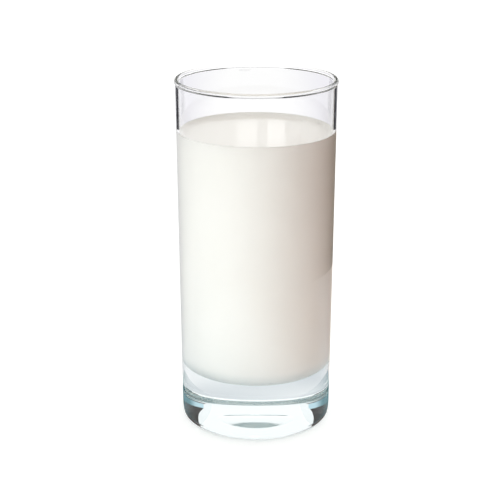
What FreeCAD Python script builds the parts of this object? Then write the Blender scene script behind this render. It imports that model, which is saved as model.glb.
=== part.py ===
import FreeCAD, Part
import math
import os
import Sketcher

# A heavy-based highball tumbler filled with milk, in millimetres.
# The origin is the centre of the ring it stands on, with +Z up along its axis.

DOC = FreeCAD.newDocument("GlassOfMilk")
FULL_TURN = 360.0
AXIS = "0 mm"
TABLE = "0 mm"
START, END, CENTRE = 1, 2, 3          # the points of a sketch curve
ORIGIN_POINT = (-1, START)

# ---------------------------------------------------------------- dimensions

SIZES = [
    ("GlassHeight", 150.0),    # table to the top of the rim
    ("FootRadius", 32.35),     # outer wall, carried straight down to the table
    ("MouthRadius", 33.6),     # outer wall, carried straight up to the rim's top
    ("WallThickness", 1.2),    # measured level, the same all the way up
    ("FloorHeight", 24.5),     # top of the solid base, inside
    ("FloorCorner", 6.0),      # rounding between floor and wall, inside
    ("HeelRadius", 3.2),       # rounding under the outer wall
    ("PuntRadius", 10.8),      # shallow hollow under the base: its mouth
    ("PuntDepth", 1.7),        # shallow hollow under the base: its height on the axis
    ("PuntEdge", 3.5),         # rounding between the hollow and the standing ring
    ("BeadRadius", 1.0),       # fire-polished bead that ends the wall
    ("BeadBlend", 1.0),        # rounding where the bead runs out into the wall
    ("MilkLevel", 127.0),      # flat of the milk above the table
    ("CreepHeight", 1.6),      # how far the milk climbs the wall
    ("CreepWidth", 3.0),       # how far in from the wall the milk starts to climb
]


def size_sheet():
    """The spreadsheet of driving dimensions, one named cell each."""
    sheet = DOC.addObject("Spreadsheet::Sheet", "Sizes")
    for row, (alias, value) in enumerate(SIZES, start=1):
        sheet.set(f"A{row}", alias)
        sheet.set(f"B{row}", str(value))
        sheet.setAlias(f"B{row}", alias)
    DOC.recompute()
    return sheet


SHEET = size_sheet()


def value_of(expression):
    """What a length expression comes to, in millimetres."""
    return float(SHEET.evalExpression(expression))


def outer_at(height):
    """Expression for the outer wall's radius at a height."""
    taper = "(Sizes.MouthRadius - Sizes.FootRadius) / Sizes.GlassHeight"
    return f"(Sizes.FootRadius + {taper} * ({height}))"


def bore_at(height):
    """Expression for the inner wall's radius at a height."""
    return f"({outer_at(height)} - Sizes.WallThickness)"


# ------------------------------------------------------------ half sections

def spot(corner):
    """The sketch point of a corner given as (radius, height) expressions."""
    radius, height = corner
    return FreeCAD.Vector(value_of(radius), value_of(height), 0)


class HalfSection:
    """A closed outline on a body's XZ plane, drawn anticlockwise and turned round the axis.

    Its curves are drawn near their places first, and its constraints then hold them there.
    """

    def __init__(self, body, name):
        self.body = body
        self.sketch = body.newObject("Sketcher::SketchObject", name)
        plane = next(f for f in body.Origin.OriginFeatures if f.Role == "XZ_Plane")
        self.sketch.AttachmentSupport = [(plane, "")]
        self.sketch.MapMode = "FlatFace"
        self.ends = {}

    def line(self, start, end):
        curve = self.sketch.addGeometry(Part.LineSegment(start, end), False)
        self.ends[curve] = (START, END)
        return curve

    def arc(self, start, end, centre, clockwise=False):
        """An arc drawn from start to end. A sketch stores every arc anticlockwise."""
        circle = Part.Circle(centre, FreeCAD.Vector(0, 0, 1), (start - centre).Length)
        first, last = (end, start) if clockwise else (start, end)
        angles = [math.atan2(p.y - centre.y, p.x - centre.x) for p in (first, last)]
        curve = self.sketch.addGeometry(Part.ArcOfCircle(circle, *angles), False)
        self.ends[curve] = (END, START) if clockwise else (START, END)
        return curve

    def rounding(self, before, corner, after, size):
        """An arc that rounds the corner between two straight runs, and its two ends."""
        back = (before - corner).normalize()
        ahead = (after - corner).normalize()
        half_angle = back.getAngle(ahead) / 2
        reach = value_of(size) / math.tan(half_angle)
        centre = corner + (back + ahead).normalize() * (value_of(size) / math.sin(half_angle))
        start = corner + back * reach
        end = corner + ahead * reach
        right_turn = (corner - before).cross(after - corner).z < 0
        curve = self.arc(start, end, centre, clockwise=right_turn)
        self.bind(size, "Radius", curve)
        return curve, start, end

    def bind(self, expression, kind, *terms):
        """A dimension whose value follows an expression on the sheet."""
        constraint = Sketcher.Constraint(kind, *terms, value_of(expression))
        index = self.sketch.addConstraint(constraint)
        self.sketch.setExpression(f"Constraints[{index}]", expression)

    def pin(self, curve, point, corner):
        """Hold a curve's point at a corner given as (radius, height) expressions."""
        for kind, expression in zip(("DistanceX", "DistanceY"), corner):
            self.bind(expression, kind, *ORIGIN_POINT, curve, point)

    def through(self, curve, corner):
        """Make the endless line that a straight run is part of pass through a corner."""
        guide = self.sketch.addGeometry(Part.Point(spot(corner)), True)
        self.pin(guide, START, corner)
        self.sketch.addConstraint(Sketcher.Constraint("PointOnObject", guide, START, curve))

    def level(self, curve):
        self.sketch.addConstraint(Sketcher.Constraint("Horizontal", curve))

    def join(self, curves, smooth):
        """End of each curve on the start of the next: smooth, or at a corner."""
        for i, first in enumerate(curves[:-1]):
            second = curves[i + 1]
            kind = "Tangent" if smooth else "Coincident"
            points = (first, self.ends[first][1], second, self.ends[second][0])
            self.sketch.addConstraint(Sketcher.Constraint(kind, *points))

    def turned(self, name):
        """Turn the outline all the way round the axis into a solid."""
        DOC.recompute()
        if not self.sketch.FullyConstrained:
            raise RuntimeError(f"{self.sketch.Name} is not held by its constraints")
        feature = self.body.newObject("PartDesign::Revolution", name)
        feature.Profile = (self.sketch, [""])
        feature.ReferenceAxis = (self.sketch, ["V_Axis"])
        feature.Angle = FULL_TURN
        self.sketch.Visibility = False
        DOC.recompute()


def new_body(label):
    body = DOC.addObject("PartDesign::Body", label)
    body.Label = label
    body.Placement = FreeCAD.Placement()
    return body


# -------------------------------------------------------------------- tumbler

PUNT_MOUTH = ("Sizes.PuntRadius", TABLE)
PUNT_CROWN = (AXIS, "Sizes.PuntDepth")
PUNT_CENTRE = (AXIS, "(Sizes.PuntDepth ^ 2 - Sizes.PuntRadius ^ 2) / (2 * Sizes.PuntDepth)")
WALL_FOOT = ("Sizes.FootRadius", TABLE)
WALL_TOP = ("Sizes.MouthRadius", "Sizes.GlassHeight")
BORE_TOP = (bore_at("Sizes.GlassHeight"), "Sizes.GlassHeight")
BORE_FLOOR = (bore_at("Sizes.FloorHeight"), "Sizes.FloorHeight")
FLOOR_MIDDLE = (AXIS, "Sizes.FloorHeight")
BEAD_HEIGHT = "(Sizes.GlassHeight - Sizes.BeadRadius)"
BEAD_CENTRE = (f"({outer_at(BEAD_HEIGHT)} - Sizes.WallThickness / 2)", BEAD_HEIGHT)


def bead_blend(side):
    """The blend between wall and bead: where it meets each of them, and its centre.

    side is 1 outside the tumbler and -1 inside it.
    """
    bead = spot(BEAD_CENTRE)
    bead_radius = value_of("Sizes.BeadRadius")
    blend_radius = value_of("Sizes.BeadBlend")
    across = value_of("Sizes.WallThickness / 2") + blend_radius
    down = math.sqrt((bead_radius + blend_radius) ** 2 - across ** 2)
    centre = bead + FreeCAD.Vector(side * across, -down, 0)
    on_wall = centre - FreeCAD.Vector(side * blend_radius, 0, 0)
    on_bead = bead + (centre - bead).normalize() * bead_radius
    return on_wall, on_bead, centre


def tumbler():
    """One piece of glass: a tapering wall on a thick base, with a bead round its rim."""
    body = new_body("tumbler")
    half = HalfSection(body, "TumblerSection")
    crown, mouth, foot = spot(PUNT_CROWN), spot(PUNT_MOUTH), spot(WALL_FOOT)
    punt_centre = spot(PUNT_CENTRE)
    punt_spoke = mouth - punt_centre
    along_punt = FreeCAD.Vector(punt_spoke.y, -punt_spoke.x, 0).normalize()
    blend_out, bead_start, blend_out_centre = bead_blend(1)
    blend_in, bead_end, blend_in_centre = bead_blend(-1)

    edge, edge_start, edge_end = half.rounding(
        mouth - along_punt, mouth, foot, "Sizes.PuntEdge")
    heel, heel_start, heel_end = half.rounding(
        mouth, foot, spot(WALL_TOP), "Sizes.HeelRadius")
    corner, corner_start, corner_end = half.rounding(
        spot(BORE_TOP), spot(BORE_FLOOR), spot(FLOOR_MIDDLE), "Sizes.FloorCorner")

    punt = half.arc(crown, edge_start, punt_centre, clockwise=True)
    ring = half.line(edge_end, heel_start)
    wall = half.line(heel_end, blend_out)
    outside = half.arc(blend_out, bead_start, blend_out_centre, clockwise=True)
    bead = half.arc(bead_start, bead_end, spot(BEAD_CENTRE))
    inside = half.arc(bead_end, blend_in, blend_in_centre, clockwise=True)
    bore = half.line(blend_in, corner_start)
    floor = half.line(corner_end, spot(FLOOR_MIDDLE))
    axis = half.line(spot(FLOOR_MIDDLE), crown)

    half.join([punt, edge, ring, heel, wall, outside, bead, inside, bore, corner, floor],
              smooth=True)
    half.join([floor, axis, punt], smooth=False)
    half.pin(punt, CENTRE, PUNT_CENTRE)
    half.pin(axis, END, PUNT_CROWN)
    half.pin(axis, START, FLOOR_MIDDLE)
    half.level(floor)
    half.level(ring)
    half.bind(TABLE, "DistanceY", *ORIGIN_POINT, ring, START)
    half.through(wall, WALL_FOOT)
    half.through(wall, WALL_TOP)
    half.through(bore, BORE_FLOOR)
    half.through(bore, BORE_TOP)
    half.bind("Sizes.BeadRadius", "Radius", bead)
    half.pin(bead, CENTRE, BEAD_CENTRE)
    half.bind("Sizes.BeadBlend", "Radius", outside)
    half.bind("Sizes.BeadBlend", "Radius", inside)
    half.turned("Tumbler")
    return body


# ----------------------------------------------------------------------- milk

SHORE_HEIGHT = "(Sizes.MilkLevel + Sizes.CreepHeight)"
SHORE = (bore_at(SHORE_HEIGHT), SHORE_HEIGHT)
CREEP_RADIUS = "((Sizes.CreepWidth ^ 2 + Sizes.CreepHeight ^ 2) / (2 * Sizes.CreepHeight))"
CREEP_START = (f"({bore_at(SHORE_HEIGHT)} - Sizes.CreepWidth)", "Sizes.MilkLevel")
CREEP_CENTRE = (CREEP_START[0], f"(Sizes.MilkLevel + {CREEP_RADIUS})")
LEVEL_MIDDLE = (AXIS, "Sizes.MilkLevel")


def milk():
    """The milk: it fills the bore to its level, and its edge climbs the wall a little."""
    body = new_body("milk")
    half = HalfSection(body, "MilkSection")
    corner, corner_start, corner_end = half.rounding(
        spot(FLOOR_MIDDLE), spot(BORE_FLOOR), spot(BORE_TOP), "Sizes.FloorCorner")
    floor = half.line(spot(FLOOR_MIDDLE), corner_start)
    wall = half.line(corner_end, spot(SHORE))
    creep = half.arc(spot(SHORE), spot(CREEP_START), spot(CREEP_CENTRE), clockwise=True)
    level = half.line(spot(CREEP_START), spot(LEVEL_MIDDLE))
    axis = half.line(spot(LEVEL_MIDDLE), spot(FLOOR_MIDDLE))

    half.join([floor, corner, wall], smooth=True)
    half.join([wall, creep], smooth=False)
    half.join([creep, level], smooth=True)
    half.join([level, axis, floor], smooth=False)
    half.pin(axis, START, LEVEL_MIDDLE)
    half.pin(axis, END, FLOOR_MIDDLE)
    half.level(floor)
    half.level(level)
    half.through(wall, BORE_FLOOR)
    half.through(wall, BORE_TOP)
    half.bind(SHORE_HEIGHT, "DistanceY", *ORIGIN_POINT, wall, END)
    half.bind(CREEP_RADIUS, "Radius", creep)
    half.turned("Milk")
    return body


# --------------------------------------------------------------------- export

def check_document():
    """Stop if any object of the document failed to build."""
    for thing in DOC.Objects:
        if {"Invalid", "Error"} & set(thing.State):
            raise RuntimeError(f"{thing.Name} failed: {thing.State}")


def export(body):
    """Write one sub-part's solid to a file of its own name."""
    shape = body.Shape
    if shape.isNull() or not shape.isValid() or len(shape.Solids) != 1:
        raise RuntimeError(f"{body.Label} is not one sound solid")
    shape.exportStep(os.path.join("parts", body.Label + ".step"))
    box = shape.optimalBoundingBox()
    print(f"{body.Label}: {shape.Volume / 1000:.1f} cm3, "
          f"{box.XLength:.2f} x {box.YLength:.2f} x {box.ZLength:.2f} mm")


sub_parts = [tumbler(), milk()]
DOC.recompute()
check_document()
os.makedirs("parts", exist_ok=True)
for sub_part in sub_parts:
    export(sub_part)
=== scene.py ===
import math

import bpy
import numpy as np
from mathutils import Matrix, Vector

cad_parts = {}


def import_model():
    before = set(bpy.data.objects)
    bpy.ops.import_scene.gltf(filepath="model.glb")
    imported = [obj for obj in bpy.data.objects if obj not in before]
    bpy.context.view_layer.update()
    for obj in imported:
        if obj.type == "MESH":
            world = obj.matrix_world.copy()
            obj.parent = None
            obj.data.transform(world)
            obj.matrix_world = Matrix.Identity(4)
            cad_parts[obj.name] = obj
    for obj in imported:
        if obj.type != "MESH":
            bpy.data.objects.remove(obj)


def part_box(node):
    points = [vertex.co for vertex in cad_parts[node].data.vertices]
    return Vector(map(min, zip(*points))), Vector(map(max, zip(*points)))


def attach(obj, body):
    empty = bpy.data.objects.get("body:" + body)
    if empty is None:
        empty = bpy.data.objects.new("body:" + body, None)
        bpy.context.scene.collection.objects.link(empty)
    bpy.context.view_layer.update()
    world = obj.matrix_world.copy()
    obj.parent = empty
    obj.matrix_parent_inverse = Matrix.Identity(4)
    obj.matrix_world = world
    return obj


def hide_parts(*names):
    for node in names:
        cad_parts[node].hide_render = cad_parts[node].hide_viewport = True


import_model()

# A heavy-based tumbler of milk. Everything is in metres, in the frame's own axes.

MM = 0.001
FULL_TURN = 2 * math.pi
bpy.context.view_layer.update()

# ---------------------------------------------------------------- sizes

_, TUMBLER_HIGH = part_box("tumbler")
MILK_LOW, MILK_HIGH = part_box("milk")

WALL = 1.2 * MM                       # thickness of the wall
TAPER = 1.25 / 150                    # the wall leans out by this much as it rises
BEAD_RADIUS = 1.0 * MM                # fire-polished bead round the rim
BEAD_BLEND = 1.0 * MM                 # where the bead runs out into the wall
HEEL_RADIUS = 3.2 * MM                # rounding under the outer wall
FLOOR_CORNER = 6.0 * MM               # rounding between floor and bore
PUNT_RADIUS = 10.8 * MM               # hollow under the base
PUNT_DEPTH = 1.7 * MM
PUNT_EDGE = 3.5 * MM                  # rounding between the hollow and the standing ring
CREEP_REACH = 1.15 * MM               # how fast the climb of the milk dies away
CREEP_HEIGHT = 1.6 * MM               # how far the milk climbs the wall
INTO_GLASS = 0.08 * MM                # the milk overlaps the bore by this, so no gap shows

RIM_TOP = TUMBLER_HIGH[2]
BEAD_Z = RIM_TOP - BEAD_RADIUS
MILK_FLOOR = MILK_LOW[2]
MILK_SHORE = MILK_HIGH[2]
MILK_LEVEL = MILK_SHORE - CREEP_HEIGHT
BEAD_R = TUMBLER_HIGH[0] - BEAD_RADIUS           # the bead is centred on the wall
FOOT_R = BEAD_R + WALL / 2 - TAPER * BEAD_Z      # outer wall carried down to the table

TURNS = 240                           # facets round each turned piece
WALL_STEP = 3.0 * MM                  # rings up a straight wall
ARC_STEP = math.radians(7.5)          # rings round an arc
ON_AXIS = 1e-7                        # a ring smaller than this is a point on the axis
CREEP_RINGS = 24                      # rings over the curved edge of the milk
CREEP_SPAN = 7 * CREEP_REACH          # by here the climb of the milk has died away


def outer_r(z):
    return FOOT_R + TAPER * z


def bore_r(z):
    return outer_r(z) - WALL


# -------------------------------------------------------------- turning

def between(a, b, t):
    return (a[0] + (b[0] - a[0]) * t, a[1] + (b[1] - a[1]) * t)


class Outline:
    """A half section drawn as points (radius, height), from one curve to the next."""

    def __init__(self, r, z):
        self.points = [(r, z)]

    def line(self, r, z):
        """A straight run. Rings crowd near its ends so that shading stays true there."""
        start = self.points[-1]
        count = max(3, round(math.dist(start, (r, z)) / WALL_STEP))
        for i in range(1, count + 1):
            t = (1 - math.cos(math.pi * i / count)) / 2
            self.points.append(between(start, (r, z), t))

    def arc(self, centre, r, z, clockwise=False):
        """A round run about a centre to a point."""
        r0, z0 = self.points[-1]
        radius = math.hypot(r0 - centre[0], z0 - centre[1])
        a0 = math.atan2(z0 - centre[1], r0 - centre[0])
        a1 = math.atan2(z - centre[1], r - centre[0])
        sweep = -((a0 - a1) % FULL_TURN) if clockwise else (a1 - a0) % FULL_TURN
        count = max(3, math.ceil(abs(sweep) / ARC_STEP))
        for i in range(1, count + 1):
            a = a0 + sweep * i / count
            self.points.append((centre[0] + radius * math.cos(a),
                                centre[1] + radius * math.sin(a)))


def turn(name, points):
    """A closed solid of revolution from a half section that starts and ends on the axis."""
    rings = [point for point in points if point[0] > ON_AXIS]
    angles = np.linspace(0, FULL_TURN, TURNS, endpoint=False)
    verts = [(r * math.cos(a), r * math.sin(a), z) for r, z in rings for a in angles]
    faces = []
    for ring in range(len(rings) - 1):
        low, high = ring * TURNS, (ring + 1) * TURNS
        for i in range(TURNS):
            j = (i + 1) % TURNS
            faces.append((low + i, low + j, high + j, high + i))
    first, last = len(verts), len(verts) + 1
    verts += [(0, 0, points[0][1]), (0, 0, points[-1][1])]
    top = (len(rings) - 1) * TURNS
    for i in range(TURNS):
        j = (i + 1) % TURNS
        faces.append((first, j, i))
        faces.append((last, top + i, top + j))
    mesh = bpy.data.meshes.new(name)
    mesh.from_pydata(verts, [], faces)
    mesh.shade_smooth()
    mesh.update()
    piece = bpy.data.objects.new(name, mesh)
    bpy.context.scene.collection.objects.link(piece)
    return piece


def rounded_corner(before, corner, after, radius):
    """Start, end and centre of the arc of this radius that rounds a straight corner."""
    back = np.subtract(before, corner)
    ahead = np.subtract(after, corner)
    back = back / np.linalg.norm(back)
    ahead = ahead / np.linalg.norm(ahead)
    half = math.acos(float(np.clip(back @ ahead, -1, 1))) / 2
    reach = radius / math.tan(half)
    middle = (back + ahead) / np.linalg.norm(back + ahead)
    centre = corner + middle * (radius / math.sin(half))
    return corner + back * reach, corner + ahead * reach, centre


# -------------------------------------------------------------- tumbler

def tumbler_outline():
    """The glass, from the crown of the hollow underneath round to the inside floor."""
    punt_centre = (0.0, (PUNT_DEPTH ** 2 - PUNT_RADIUS ** 2) / (2 * PUNT_DEPTH))
    mouth = (PUNT_RADIUS, 0.0)
    before_mouth = (PUNT_RADIUS + punt_centre[1] * MM, PUNT_RADIUS * MM)   # along the tangent
    foot = (FOOT_R, 0.0)
    top = (outer_r(RIM_TOP), RIM_TOP)
    bore_top = (bore_r(RIM_TOP), RIM_TOP)
    bore_floor = (bore_r(MILK_FLOOR), MILK_FLOOR)
    edge = rounded_corner(before_mouth, mouth, foot, PUNT_EDGE)
    heel = rounded_corner(mouth, foot, top, HEEL_RADIUS)
    corner = rounded_corner(bore_top, bore_floor, (0.0, MILK_FLOOR), FLOOR_CORNER)
    across = WALL / 2 + BEAD_BLEND
    down = math.sqrt((BEAD_RADIUS + BEAD_BLEND) ** 2 - across ** 2)
    bead = (BEAD_R, BEAD_Z)
    outside = (BEAD_R + across, BEAD_Z - down)
    inside = (BEAD_R - across, BEAD_Z - down)
    reach = BEAD_RADIUS / (BEAD_RADIUS + BEAD_BLEND)

    line = Outline(0.0, PUNT_DEPTH)
    line.arc(punt_centre, *edge[0], clockwise=True)
    line.arc(edge[2], *edge[1])
    line.line(*heel[0])
    line.arc(heel[2], *heel[1])
    line.line(outside[0] - BEAD_BLEND, outside[1])
    line.arc(outside, *between(bead, outside, reach), clockwise=True)
    line.arc(bead, *between(bead, inside, reach))
    line.arc(inside, inside[0] + BEAD_BLEND, inside[1], clockwise=True)
    line.line(*corner[0])
    line.arc(corner[2], *corner[1], clockwise=True)
    line.line(0.0, MILK_FLOOR)
    return line.points


# ----------------------------------------------------------------- milk

def milk_outline():
    """The milk, a hair larger than the bore, with its edge drawn up the wall."""
    floor = MILK_FLOOR - INTO_GLASS
    low = (bore_r(floor) + INTO_GLASS, floor)
    shore = (bore_r(MILK_SHORE) + INTO_GLASS, MILK_SHORE)
    start, end, centre = rounded_corner((0.0, floor), low, shore, FLOOR_CORNER)
    line = Outline(0.0, floor)
    line.line(*start)
    line.arc(centre, *end)
    line.line(*shore)
    for i in range(1, CREEP_RINGS + 1):
        inward = CREEP_SPAN * (i / CREEP_RINGS) ** 2
        climb = CREEP_HEIGHT * math.exp(-inward / CREEP_REACH)
        line.points.append((shore[0] - inward, MILK_LEVEL + climb))
    line.line(0.0, line.points[-1][1])
    return line.points


# ------------------------------------------------------------- shading

class Number:
    """A number worked out by nodes. Python's operators on it add Math nodes."""

    def __init__(self, nodes, socket):
        self.nodes = nodes
        self.socket = socket

    def __add__(self, other):
        return self.nodes.math("ADD", self, other)

    def __radd__(self, other):
        return self.nodes.math("ADD", other, self)

    def __sub__(self, other):
        return self.nodes.math("SUBTRACT", self, other)

    def __rsub__(self, other):
        return self.nodes.math("SUBTRACT", other, self)

    def __mul__(self, other):
        return self.nodes.math("MULTIPLY", self, other)

    def __rmul__(self, other):
        return self.nodes.math("MULTIPLY", other, self)

    def __truediv__(self, other):
        return self.nodes.math("DIVIDE", self, other)

    def __rtruediv__(self, other):
        return self.nodes.math("DIVIDE", other, self)


class Nodes:
    """The nodes of one material or world."""

    def __init__(self, tree):
        self.tree = tree
        tree.nodes.clear()

    def add(self, kind, settings=None, inputs=None):
        """A node of a kind: its settings first, then its sockets' values or links."""
        node = self.tree.nodes.new(kind)
        for name, value in (settings or {}).items():
            setattr(node, name, value)
        for name, value in (inputs or {}).items():
            if isinstance(value, Number):
                value = value.socket
            if isinstance(value, bpy.types.NodeSocket):
                self.tree.links.new(value, node.inputs[name])
            else:
                node.inputs[name].default_value = value
        return node

    def math(self, operation, *values):
        """One step of arithmetic on numbers."""
        node = self.add("ShaderNodeMath", {"operation": operation},
                        dict(enumerate(values)))
        return Number(self, node.outputs[0])

    def mix(self, factor, first, second):
        """One colour into another."""
        node = self.add("ShaderNodeMix", {"data_type": "RGBA"},
                        {"Factor": factor, 6: first, 7: second})
        return node.outputs[2]

    def ramp(self, value, low, high):
        """0 below low, 1 above high, smooth between."""
        node = self.add("ShaderNodeMapRange", {"interpolation_type": "SMOOTHSTEP"},
                        {"Value": value, "From Min": low, "From Max": high})
        return Number(self, node.outputs[0])


def new_material(name):
    material = bpy.data.materials.new(name)
    material.use_nodes = True
    return material, Nodes(material.node_tree)


def white(value):
    return (value, value, value)


def degrees(*values):
    return [math.radians(value) for value in values]


def clear_glass():
    """Soda-lime glass: water clear where thin, faintly blue-green through the base."""
    material, nodes = new_material("clear_glass")
    coords = nodes.add("ShaderNodeTexCoord")
    drawn = nodes.add("ShaderNodeMapping", None, {
        "Vector": coords.outputs["Object"], "Scale": (1.0, 1.0, 0.25)})
    waves = nodes.add("ShaderNodeTexNoise", None, {
        "Vector": drawn.outputs["Vector"], "Scale": 45.0, "Detail": 1.0})
    pull = nodes.add("ShaderNodeBump", None, {
        "Height": waves.outputs["Fac"], "Strength": 0.05, "Distance": 0.12 * MM})
    wear = nodes.add("ShaderNodeTexNoise", None, {
        "Vector": coords.outputs["Object"], "Scale": 260.0, "Detail": 3.0})
    shader = nodes.add("ShaderNodeBsdfPrincipled", None, {
        "Base Color": (1, 1, 1, 1),
        "Roughness": nodes.ramp(Number(nodes, wear.outputs["Fac"]), 0.55, 0.80) * 0.02,
        "IOR": 1.5,
        "Transmission Weight": 1.0,
        "Normal": pull.outputs["Normal"],
    })
    tint = nodes.add("ShaderNodeVolumeAbsorption", None, {
        "Color": (0.30, 0.86, 0.92, 1),
        "Density": 1.6,
    })
    nodes.add("ShaderNodeOutputMaterial", None, {
        "Surface": shader.outputs["BSDF"],
        "Volume": tint.outputs["Volume"],
    })
    return material


def fresh_milk():
    """Whole milk: warm white, with faint clouds of cream and a wet surface."""
    material, nodes = new_material("fresh_milk")
    coords = nodes.add("ShaderNodeTexCoord")
    clouds = nodes.add("ShaderNodeTexNoise", None, {
        "Vector": coords.outputs["Object"], "Scale": 38.0, "Detail": 4.0, "Distortion": 0.6})
    specks = nodes.add("ShaderNodeTexNoise", None, {
        "Vector": coords.outputs["Object"], "Scale": 900.0, "Detail": 1.0})
    cream = nodes.ramp(Number(nodes, clouds.outputs["Fac"]), 0.30, 0.70)
    fine = Number(nodes, specks.outputs["Fac"])
    colour = nodes.mix(cream * 0.8 + fine * 0.2,
                       (0.932, 0.922, 0.880, 1), (0.950, 0.942, 0.904, 1))
    skin = nodes.add("ShaderNodeBump", None, {
        "Height": clouds.outputs["Fac"], "Strength": 0.04, "Distance": 0.2 * MM})
    shader = nodes.add("ShaderNodeBsdfPrincipled", None, {
        "Base Color": colour,
        "Roughness": 0.035 + 0.03 * cream,
        "IOR": 1.35,
        "Normal": skin.outputs["Normal"],
    })
    nodes.add("ShaderNodeOutputMaterial", None, {"Surface": shader.outputs["BSDF"]})
    return material


# --------------------------------------------------------------- studio

# Directions are turns about the tumbler's axis in degrees: 0 is straight behind it and
# they grow to the right. Where a comment says so, they start from the front instead.

def add_piece(name, verts, faces, material):
    mesh = bpy.data.meshes.new(name)
    mesh.from_pydata([tuple(vert) for vert in verts], [], faces)
    mesh.materials.append(material)
    piece = bpy.data.objects.new(name, mesh)
    bpy.context.scene.collection.objects.link(piece)
    return piece


def card(name, centre, across, up, material):
    """A flat four-sided card, given by its centre and two half-edges."""
    c, u, v = (np.array(part, dtype=float) for part in (centre, across, up))
    return add_piece(name, [c - u - v, c + u - v, c + u + v, c - u + v], [(0, 1, 2, 3)], material)


def band(name, low, high, material, sides=(0, 360), steps=96):
    """A round band of card about the axis between two (radius, height) edges."""
    angles = np.radians(np.linspace(*sides, steps + 1))
    verts = [(r * math.sin(a), r * math.cos(a), z) for r, z in (low, high) for a in angles]
    faces = [(i, i + 1, steps + 2 + i, steps + 1 + i) for i in range(steps)]
    return add_piece(name, verts, faces, material)


def flat_band(name, reach, height, material, sides=(0, 360), steps=96):
    """A ring of card, or part of one, that lies flat at a height."""
    near, far = reach
    return band(name, (near, height), (far, height), material, sides, steps)


FAR_RING = 1.2                        # radius of the ring on which the far cards stand
FAR_ROWS, FAR_COLUMNS = 25, 17
BOW_MIDDLE, BOW_HALF = 25.9, 0.7      # degrees up: the notch of a bowed card, and half its height


def far_card(name, material, sides, rise, bow=0.0):
    """A card on a wide ring. About one height its first side is notched by `bow` degrees."""
    start, stop = sides
    verts = []
    for elevation in np.linspace(*rise, FAR_ROWS):
        away = min(1.0, abs(elevation - BOW_MIDDLE) / BOW_HALF)
        first = start - math.copysign(bow, start) * away ** 2
        height = FAR_RING * math.tan(math.radians(elevation))
        for angle in np.radians(np.linspace(first, stop, FAR_COLUMNS)):
            verts.append((FAR_RING * math.sin(angle), FAR_RING * math.cos(angle), height))
    faces = []
    for row in range(FAR_ROWS - 1):
        for column in range(FAR_COLUMNS - 1):
            low = row * FAR_COLUMNS + column
            high = low + FAR_COLUMNS
            faces.append((low, low + 1, high + 1, high))
    return add_piece(name, verts, faces, material)


def seen_by(piece, glossy=False, transmission=False):
    """A card that only mirrored or refracted light can see."""
    piece.visible_camera = False
    piece.visible_diffuse = False
    piece.visible_glossy = glossy
    piece.visible_transmission = transmission
    piece.visible_shadow = False


def glow_for(material, nodes, colour, milk):
    """A glow for light that the milk has scattered, or else for the clear glass alone."""
    path = nodes.add("ShaderNodeLightPath")
    scattered = nodes.math("GREATER_THAN", Number(nodes, path.outputs["Diffuse Depth"]), 0.5)
    glow = nodes.add("ShaderNodeEmission", None, {"Color": colour, "Strength": 1.0})
    clear = nodes.add("ShaderNodeBsdfTransparent")
    either = nodes.add("ShaderNodeMixShader", None, {
        "Fac": scattered if milk else 1 - scattered,
        1: clear.outputs["BSDF"], 2: glow.outputs["Emission"]})
    nodes.add("ShaderNodeOutputMaterial", None, {"Surface": either.outputs["Shader"]})
    material.cycles.emission_sampling = "NONE"


def glowing(name, colour, milk=False):
    """A card with one plain glow."""
    material, nodes = new_material(name)
    glow_for(material, nodes, (*colour, 1), milk)
    return material


def rightward(nodes, x, y):
    """How far to the right of the axis."""
    return x


def sideways(nodes, x, y):
    """How far to either side of the axis."""
    return nodes.math("ABSOLUTE", x)


def round_axis(nodes, x, y):
    """How far round from behind, to either side."""
    return nodes.math("ABSOLUTE", nodes.math("ARCTAN2", x, y))


def graded(name, first, second, along, low, high):
    """A card that glows from one colour to another between two values of `along`."""
    material, nodes = new_material(name)
    place = nodes.add("ShaderNodeNewGeometry")
    where = nodes.add("ShaderNodeSeparateXYZ", None, {"Vector": place.outputs["Position"]})
    x, y = (Number(nodes, where.outputs[axis]) for axis in "XY")
    colour = nodes.mix(nodes.ramp(along(nodes, x, y), low, high), (*first, 1), (*second, 1))
    glow_for(material, nodes, colour, milk=False)
    return material


# ------------------------------------------------------- table and world

AIR_UNDER = 0.15 * MM                 # the glass stands on high spots, not in full contact
TABLE_HALF = 60                       # out past every horizon
TABLE_GLOW = 0.36
TABLE_WHITE = white(1.25)             # how bright the lit table looks

SKY_WHITE = 1.25                      # along the horizon
SKY_SCREEN = 1.06                     # the wide screen behind
SKY_REST = 0.80
HORIZON_FADES = (10, 18)              # degrees up
SCREEN_SIDE_FADES = (54, 62)          # degrees to either side
SCREEN_TOP_FADES = (55, 65)           # degrees up


def table():
    """A pale table of back-lit acrylic."""
    material, nodes = new_material("pale_table")
    coords = nodes.add("ShaderNodeTexCoord")
    grain = nodes.add("ShaderNodeTexNoise", None, {
        "Vector": coords.outputs["Object"], "Scale": 60.0, "Detail": 3.0})
    colour = nodes.mix(grain.outputs["Fac"], (0.89, 0.89, 0.88, 1), (0.91, 0.91, 0.90, 1))
    sheet = nodes.add("ShaderNodeBsdfPrincipled", None, {
        "Base Color": colour, "Roughness": 1.0, "Specular IOR Level": 0.0,
        "Emission Color": (1.0, 1.0, 1.0, 1), "Emission Strength": TABLE_GLOW})
    nodes.add("ShaderNodeOutputMaterial", None, {"Surface": sheet.outputs["BSDF"]})
    material.cycles.emission_sampling = "NONE"
    card("table", (0, 0, -AIR_UNDER), (TABLE_HALF, 0, 0), (0, TABLE_HALF, 0), material)


def angles_of(nodes, vector):
    """Turn from behind, turn from the front and height of a place, each growing to the right."""
    where = nodes.add("ShaderNodeSeparateXYZ", None, {"Vector": vector})
    x, y, z = (Number(nodes, where.outputs[axis]) for axis in "XYZ")
    return nodes.math("ARCTAN2", x, y), nodes.math("ARCTAN2", x, 0 - y), z


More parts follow.
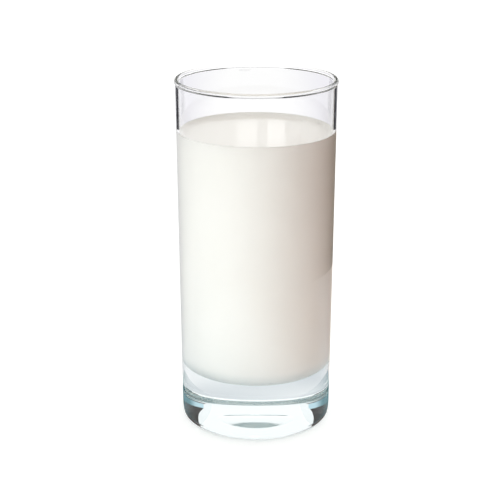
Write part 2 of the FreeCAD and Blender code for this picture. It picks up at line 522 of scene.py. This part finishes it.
def rises(*values):
    """The heights on a ball of radius 1 that stand so many degrees up."""
    return [math.sin(math.radians(value)) for value in values]


def world():
    """Soft white light: strongest along the horizon and from a wide screen behind."""
    studio = bpy.data.worlds.new("studio")
    bpy.context.scene.world = studio
    studio.use_nodes = True
    nodes = Nodes(studio.node_tree)
    coords = nodes.add("ShaderNodeTexCoord")
    behind, _, rise = angles_of(nodes, coords.outputs["Generated"])
    behind = nodes.math("ABSOLUTE", behind)
    horizon = 1 - nodes.ramp(rise, *rises(*HORIZON_FADES))
    screen = 1 - nodes.ramp(behind, *degrees(*SCREEN_SIDE_FADES))
    screen = screen * (1 - nodes.ramp(rise, *rises(*SCREEN_TOP_FADES)))
    strength = nodes.math("MAXIMUM", SKY_REST + horizon * (SKY_WHITE - SKY_REST),
                          SKY_REST + screen * (SKY_SCREEN - SKY_REST))
    back = nodes.add("ShaderNodeBackground", None, {"Color": (1, 1, 1, 1), "Strength": strength})
    nodes.add("ShaderNodeOutputWorld", None, {"Surface": back.outputs["Background"]})


# ---------------------------------------------------- lights on the milk

LAMP_R = 0.10                         # a round lamp about the glass, and its ceiling
LAMP_TOP = 0.35
LAMP_FOOT = 0.5 * MM
LOW_FADES = (0.012, 0.055)            # heights over which the lower part ends
HIGH_FADES = (0.14, 0.19)             # heights over which the upper part starts

# Each light's colour, its direction and its spread. All but BACK count from the front.
KEY = ((2.21, 2.23, 2.22), -33, 44)
KEY_LOW_GAIN, KEY_HIGH_LOSS = 0.35, 0.25
SPILL = ((0.45, 0.16, 0.04), 52, 18)            # warm edge of the key
BOUNCE = ((1.75, 1.42, 1.22), 54, 32)           # low down, off the table
BACK = ((1.42, 1.40, 1.34), -14, 34)
EDGE = ((0.95, 0.92, 0.86), 152, 22)

OVERHEAD = (1.18, 1.07, 0.92)
TEAL_BOARD = (0.02, 0.31, 0.47)
BOARD_REACH = (34.5 * MM, LAMP_R)
BOARD_HEIGHT = 0.3 * MM


def bell(nodes, angle, light):
    """A soft hump about a light's direction, 1 in the middle."""
    _, middle, spread = light
    away = (angle - math.radians(middle)) / math.radians(spread)
    return nodes.math("EXPONENT", (away * away) * -0.5)


def key_light():
    """A big soft key from the front left that dies away to the right, warm at its edge."""
    material, nodes = new_material("key_light")
    place = nodes.add("ShaderNodeNewGeometry")
    behind, front, rise = angles_of(nodes, place.outputs["Position"])
    low = 1 - nodes.ramp(rise, *LOW_FADES)
    high = nodes.ramp(rise, *HIGH_FADES)
    lean = 1 + KEY_LOW_GAIN * low - KEY_HIGH_LOSS * high
    lights = ((KEY, bell(nodes, front, KEY) * lean),
              (SPILL, bell(nodes, front, SPILL)),
              (BOUNCE, bell(nodes, front, BOUNCE) * low),
              (BACK, bell(nodes, behind, BACK)),
              (EDGE, bell(nodes, front, EDGE)))
    channels = {}
    for channel, word in enumerate(("Red", "Green", "Blue")):
        parts = [mask * light[0][channel] for light, mask in lights]
        channels[word] = sum(parts[1:], parts[0])
    colour = nodes.add("ShaderNodeCombineColor", None, channels)
    glow_for(material, nodes, colour.outputs["Color"], milk=True)
    lamp = band("key_light", (LAMP_R, LAMP_FOOT), (LAMP_R, LAMP_TOP), material)
    seen_by(lamp, transmission=True)


def overhead_light():
    """The lamp's warm ceiling, which the top of the milk sees with nothing in between."""
    ceiling = flat_band("overhead_light", (0.0, LAMP_R), LAMP_TOP,
                        glowing("overhead_light", OVERHEAD, milk=True))
    seen_by(ceiling, transmission=True)
    ceiling.visible_diffuse = True


def under_board():
    """A blue-green board round the foot, which shows only in the underside of the milk."""
    board = flat_band("under_board", BOARD_REACH, BOARD_HEIGHT,
                      glowing("under_board", TEAL_BOARD, milk=True))
    seen_by(board, transmission=True)


# ------------------------------------------- cards that show in the glass

SIDES = ((-1, "left"), (1, "right"))

CORNER_SIDES = (42, 88)               # dark corners of the solid base
CORNER_BOW = 7
CORNER_FOOT, LIP_FOOT, CORNER_TOP = 21.5, 24.7, 30.5
LIP_TOPS = {"left": 25.3, "right": 25.2}
LIP_FADES = (42, 60)
LOWER_SIDES = (37, 60)
LOWER_FOOT = 6

STRIP_SIDES = (19, 36)                # thin dark lines along the clear wall's edges
STRIP_HEIGHT = 2.0 * MM
STRIP_REACH = {0: (0.545, 0.80), 135: (0.81, 1.60), 315: (0.34, 0.50)}   # by view direction

# dark blue-green sheets on the table beside the foot: painted shadow of the foot, mirrored in the
# base
FOOT_SHADOW_REACH = (33.5 * MM, 65.0 * MM)
FOOT_SHADOW_HEIGHT = 1.4 * MM
FOOT_SHADOW_SIDES = (56, 128)
HORIZON_SIDES, HORIZON_RISE = (44, 56), (0.5, 6)

FLOOR_HEIGHT = 1.0 * MM               # cards that lie on the table and fade into it
FLANK_SPLIT = 0.205
FLANK_SIDES, FLANK_FADES = (15, 116), (40, 112)
FADE_SIDES, FADE_FADES = (15, 83), (36, 82)
FADE_FROM, FLOOR_END = 0.05, 5.0

COLLAR_R = 0.07                       # stands round the rim, just above it
COLLAR_RISE = (0.158, 0.27)
COLLAR_GAP = 11                       # half of its pale gap, behind
# a brown sheet under and just round the front of the foot: painted contact shade, which the heel
# shows as a thin dark outline
CONTACT_SHADE_REACH = (27.5 * MM, 34.5 * MM)
CONTACT_SHADE_HEIGHT = -0.1 * MM
CONTACT_SHADE_SIDES = (95, 265)

WALL_SIDES = (-18.9, 18.9)            # soft greys of the empty wall
WALL_HEIGHT = 0.6 * MM
WALL_CARDS = {"near": ((0.45, 0.685), 1.035), "far": ((0.685, 1.6), 0.985)}   # reach and glow
WALL_FADES = (0.02, 0.11)
BASE_REACH = (35.5 * MM, 99.0 * MM)
BASE_HEIGHT = 0.5 * MM
BASE_SIDES = (-62, 62)
BASE_FADES = (-8.0 * MM, 8.0 * MM)

PANE_SPANS = {"left": (-0.024, 0.006, 1.50), "right": (0.022, 0.050, 1.66)}   # x, x and glow
PANE_Y = 1.0
PANE_MIDDLE, PANE_HALF = 0.385, 0.035


def sided(side, angles):
    """A pair of directions, on the left for a side of -1."""
    return [side * angle for angle in angles]


def corner_cards(brown):
    """Brown cards behind, for the base's dark corners, each with a pale blue lip."""
    blue = graded("blue_card", (0.60, 0.80, 0.88), (0.10, 0.25, 0.29),
                  round_axis, *degrees(*LIP_FADES))
    for side, word in SIDES:
        corner = sided(side, CORNER_SIDES)
        split = LIP_TOPS[word]
        pieces = (
            far_card(f"corner_low_{word}", brown, corner, (CORNER_FOOT, LIP_FOOT), CORNER_BOW),
            far_card(f"corner_lip_{word}", blue, corner, (LIP_FOOT, split), CORNER_BOW),
            far_card(f"corner_high_{word}", brown, corner, (split, CORNER_TOP), CORNER_BOW),
            far_card(f"lower_card_{word}", brown, sided(side, LOWER_SIDES),
                     (LOWER_FOOT, CORNER_FOOT)))
        for piece in pieces:
            seen_by(piece, transmission=True)


def floor_strips(dark):
    """Dark strips on the table, which the edges of the clear wall draw as thin lines."""
    for side, word in SIDES:
        for direction, reach in STRIP_REACH.items():
            edges = [direction + angle for angle in sided(side, STRIP_SIDES)]
            strip = flat_band(f"floor_strip_{direction}_{word}", reach, STRIP_HEIGHT, dark,
                              edges, steps=8)
            seen_by(strip, glossy=direction == 0, transmission=True)


def foot_shadow_cards(teal):
    """Dark blue-green cards on the table beside the foot: a painted shadow of the foot, tinted
    blue-green, that the base mirrors. And one on the horizon, which tints the base.
    """
    for side, word in SIDES:
        # painted shadow of the foot, seen only in reflections
        foot = flat_band(f"foot_shadow_card_{word}", FOOT_SHADOW_REACH, FOOT_SHADOW_HEIGHT, teal,
                         sided(side, FOOT_SHADOW_SIDES), steps=24)
        seen_by(foot, glossy=True)
    seen_by(far_card("horizon_card", teal, HORIZON_SIDES, HORIZON_RISE), transmission=True)


def side_cards():
    """Cards on the table that fade into it, mirrored in the wall's left and right flanks."""
    shade = graded("flank_card", (0.20, 0.17, 0.13), TABLE_WHITE,
                   round_axis, *degrees(*FLANK_FADES))
    flank = flat_band("flank_card", (FLANK_SPLIT, FLOOR_END), FLOOR_HEIGHT, shade,
                      FLANK_SIDES, steps=48)
    seen_by(flank, glossy=True)
    ends = {"left": FLOOR_END, "right": FLANK_SPLIT}
    tones = {"left": (0.62, 0.62, 0.65), "right": (0.75, 0.66, 0.60)}
    for side, word in SIDES:
        fade = graded(f"fade_card_{word}", tones[word], TABLE_WHITE,
                      round_axis, *degrees(*FADE_FADES))
        strip = flat_band(f"fade_card_{word}", (FADE_FROM, ends[word]), FLOOR_HEIGHT, fade,
                          sided(side, FADE_SIDES), steps=24)
        seen_by(strip, glossy=True)


def rim_cards(dark, brown):
    """A dark collar round the rim with a pale gap behind, and a brown sheet under the front of
    the foot: painted contact shade, which the heel shows as a thin dark outline.
    """
    low, high = ((COLLAR_R, height) for height in COLLAR_RISE)
    collar = band("collar_card", low, high, dark, (COLLAR_GAP, 360 - COLLAR_GAP))
    gap = band("collar_gap_card", low, high, glowing("gap_card", (0.72, 0.72, 0.73)),
               (-COLLAR_GAP, COLLAR_GAP), steps=8)
    # painted contact shade under the front of the foot, seen through the heel
    outline = flat_band("contact_shade_card", CONTACT_SHADE_REACH, CONTACT_SHADE_HEIGHT, brown,
                        CONTACT_SHADE_SIDES, steps=60)
    for piece in (collar, gap, outline):
        seen_by(piece, glossy=True, transmission=True)


def wall_cards():
    """Pale cards far behind on the table, for the soft greys of the empty wall."""
    for word, (reach, glow) in WALL_CARDS.items():
        grey = graded(f"grey_card_{word}", white(glow), (0.82, 0.81, 0.87),
                      sideways, *WALL_FADES)
        wall = flat_band(f"wall_card_{word}", reach, WALL_HEIGHT, grey, WALL_SIDES, steps=24)
        seen_by(wall, transmission=True)


def base_card():
    """A silver card close behind the foot, for the pale band across the base."""
    silver = graded("silver_card", (0.66, 0.68, 0.71), (0.90, 0.90, 0.91),
                    rightward, *BASE_FADES)
    base = flat_band("base_card", BASE_REACH, BASE_HEIGHT, silver, BASE_SIDES, steps=24)
    seen_by(base, transmission=True)


def window_panes():
    """Two bright panes behind the glass, for the sheen on the milk."""
    for word, (low, high, glow) in PANE_SPANS.items():
        pane = card(f"pane_{word}", ((low + high) / 2, PANE_Y, PANE_MIDDLE),
                    ((high - low) / 2, 0, 0), (0, 0, PANE_HALF),
                    glowing(f"pane_{word}", white(glow)))
        seen_by(pane, transmission=True)


# --------------------------------------------------------------- camera

EYE = (-2.6 * MM, -531.0 * MM, 253.0 * MM)
EYE_DOWN = 18.51                      # degrees below level
LENS = 93.8                           # millimetres, on the sensor below
SENSOR = 36.0


def camera():
    data = bpy.data.cameras.new("camera")
    data.sensor_width = SENSOR
    data.lens = LENS
    data.clip_start = 0.01
    data.clip_end = 200.0
    eye = bpy.data.objects.new("camera", data)
    eye.location = EYE
    eye.rotation_euler = (math.radians(90 - EYE_DOWN), 0, 0)
    bpy.context.scene.collection.objects.link(eye)
    bpy.context.scene.camera = eye


# ---------------------------------------------------------------- build

glass = turn("glass_tumbler", tumbler_outline())
glass.data.materials.append(clear_glass())
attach(glass, "root")
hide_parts("tumbler")

milk = turn("milk_fill", milk_outline())
milk.data.materials.append(fresh_milk())
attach(milk, "root")
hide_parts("milk")

table()
world()
key_light()
overhead_light()
under_board()

dark_card = glowing("dark_card", (0.03, 0.03, 0.035))
# dark brown glow: cards for the base's dark corners, and painted contact shade under the foot
brown_card = glowing("brown_card", (0.055, 0.032, 0.027))
# dark blue-green glow: painted shadow of the foot on the cards beside it, and a tint for the base
# on the horizon card
teal_card = glowing("teal_card", (0.03, 0.15, 0.18))
corner_cards(brown_card)
floor_strips(dark_card)
foot_shadow_cards(teal_card)
side_cards()
rim_cards(dark_card, brown_card)
wall_cards()
base_card()
window_panes()
camera()

scene = bpy.context.scene
scene.view_settings.view_transform = "Standard"
scene.cycles.max_bounces = 24
scene.cycles.transmission_bounces = 24
scene.cycles.glossy_bounces = 12
scene.cycles.diffuse_bounces = 6
